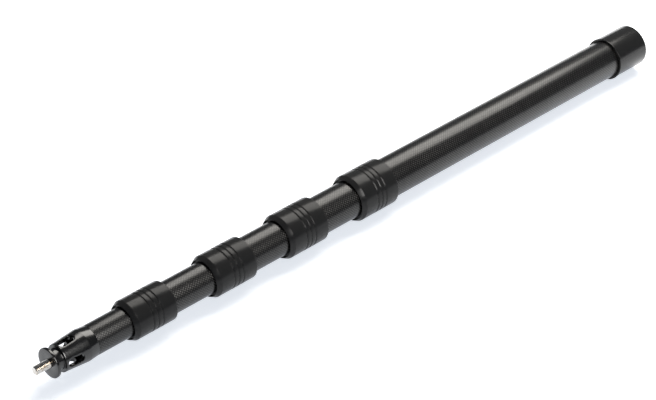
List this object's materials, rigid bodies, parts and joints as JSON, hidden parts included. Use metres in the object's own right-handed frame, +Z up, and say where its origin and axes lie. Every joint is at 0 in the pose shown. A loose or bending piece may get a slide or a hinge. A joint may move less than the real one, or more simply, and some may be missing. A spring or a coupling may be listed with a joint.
{
  "type": "boom pole",
  "caption": "Telescopic carbon-fibre boom pole with twist-lock collars, a screw-on butt cap and a slotted tip whose disc carries a threaded stud for a microphone mount.",
  "frame": {"origin": "centre of the butt pad's flat rear face, on the pole's axis", "axes": "+X runs along the pole's axis from the butt to the tip; +Z is up, with the pole lying level; the tip's cable slots face +Z, -Z, +Y and -Y"},
  "size_m": [0.9181, 0.0544, 0.0544],
  "materials": {
    "carbon": "plain-weave carbon fibre, semi-gloss clear coat",
    "collar": "satin black anodised",
    "cap": "smooth semi-gloss black anodised",
    "tip": "semi-gloss black anodised",
    "alloy": "turned, clear anodised",
    "steel": "bright turned steel, threaded",
    "nylon": "natural, matt",
    "acetal": "black, matt",
    "rubber": "black, matt"
  },
  "bodies": {
    "section_1": {"tube_1": "carbon", "liner_1": "nylon", "ferrule_1": "alloy", "base_insert": "alloy"},
    "cap_seal": {"base_o_ring": "rubber"},
    "base_cap": {"base_cap": "cap", "butt_pad": "rubber"},
    "collet_1": {"collet_1": "acetal", "thrust_washer_1": "nylon"},
    "collar_1": {"collar_1": "collar"},
    "section_2": {"tube_2": "carbon", "guide_ring_2": "nylon", "liner_2": "nylon", "ferrule_2": "alloy"},
    "collet_2": {"collet_2": "acetal", "thrust_washer_2": "nylon"},
    "collar_2": {"collar_2": "collar"},
    "section_3": {"tube_3": "carbon", "guide_ring_3": "nylon", "liner_3": "nylon", "ferrule_3": "alloy"},
    "collet_3": {"collet_3": "acetal", "thrust_washer_3": "nylon"},
    "collar_3": {"collar_3": "collar"},
    "section_4": {"tube_4": "carbon", "guide_ring_4": "nylon", "liner_4": "nylon", "ferrule_4": "alloy"},
    "collet_4": {"collet_4": "acetal", "thrust_washer_4": "nylon"},
    "collar_4": {"collar_4": "collar"},
    "section_5": {"tube_5": "carbon", "guide_ring_5": "nylon", "tip_body": "tip", "tip_stud": "steel"}
  },
  "joints": [
    {"name": "base_cap_travel", "type": "slide", "parent": "section_1", "child": "cap_seal", "axis": [-1, 0, 0], "range_m": [0, 0.00605]},
    {"name": "base_cap_unscrew", "type": "hinge", "parent": "cap_seal", "child": "base_cap", "pos_m": [0, 0, 0], "axis": [-1, 0, 0], "range_deg": [0, 1080]},
    {"name": "collet_1_travel", "type": "slide", "parent": "section_1", "child": "collet_1", "axis": [1, 0, 0], "range_m": [0, 0.00102]},
    {"name": "collar_1_twist", "type": "hinge", "parent": "collet_1", "child": "collar_1", "pos_m": [0.4635, 0, 0], "axis": [1, 0, 0], "range_deg": [0, 180]},
    {"name": "section_2_slide", "type": "slide", "parent": "section_1", "child": "section_2", "axis": [1, 0, 0], "range_m": [-0.0494, 0.332]},
    {"name": "collet_2_travel", "type": "slide", "parent": "section_2", "child": "collet_2", "axis": [1, 0, 0], "range_m": [0, 0.00102]},
    {"name": "collar_2_twist", "type": "hinge", "parent": "collet_2", "child": "collar_2", "pos_m": [0.5691, 0, 0], "axis": [1, 0, 0], "range_deg": [0, 180]},
    {"name": "section_3_slide", "type": "slide", "parent": "section_2", "child": "section_3", "axis": [1, 0, 0], "range_m": [-0.0462, 0.3765]},
    {"name": "collet_3_travel", "type": "slide", "parent": "section_3", "child": "collet_3", "axis": [1, 0, 0], "range_m": [0, 0.00102]},
    {"name": "collar_3_twist", "type": "hinge", "parent": "collet_3", "child": "collar_3", "pos_m": [0.6715, 0, 0], "axis": [1, 0, 0], "range_deg": [0, 180]},
    {"name": "section_4_slide", "type": "slide", "parent": "section_3", "child": "section_4", "axis": [1, 0, 0], "range_m": [-0.0516, 0.4123]},
    {"name": "collet_4_travel", "type": "slide", "parent": "section_4", "child": "collet_4", "axis": [1, 0, 0], "range_m": [0, 0.00102]},
    {"name": "collar_4_twist", "type": "hinge", "parent": "collet_4", "child": "collar_4", "pos_m": [0.7793, 0, 0], "axis": [1, 0, 0], "range_deg": [0, 180]},
    {"name": "section_5_slide", "type": "slide", "parent": "section_4", "child": "section_5", "axis": [1, 0, 0], "range_m": [-0.0415, 0.4636]}
  ],
  "couplings": [
    {"joint": "base_cap_travel", "follows": "base_cap_unscrew", "m_per_rad": 0.00031831},
    {"joint": "collet_1_travel", "follows": "collar_1_twist", "m_per_rad": 0.00031831},
    {"joint": "collet_2_travel", "follows": "collar_2_twist", "m_per_rad": 0.00031831},
    {"joint": "collet_3_travel", "follows": "collar_3_twist", "m_per_rad": 0.00031831},
    {"joint": "collet_4_travel", "follows": "collar_4_twist", "m_per_rad": 0.00031831}
  ]
}
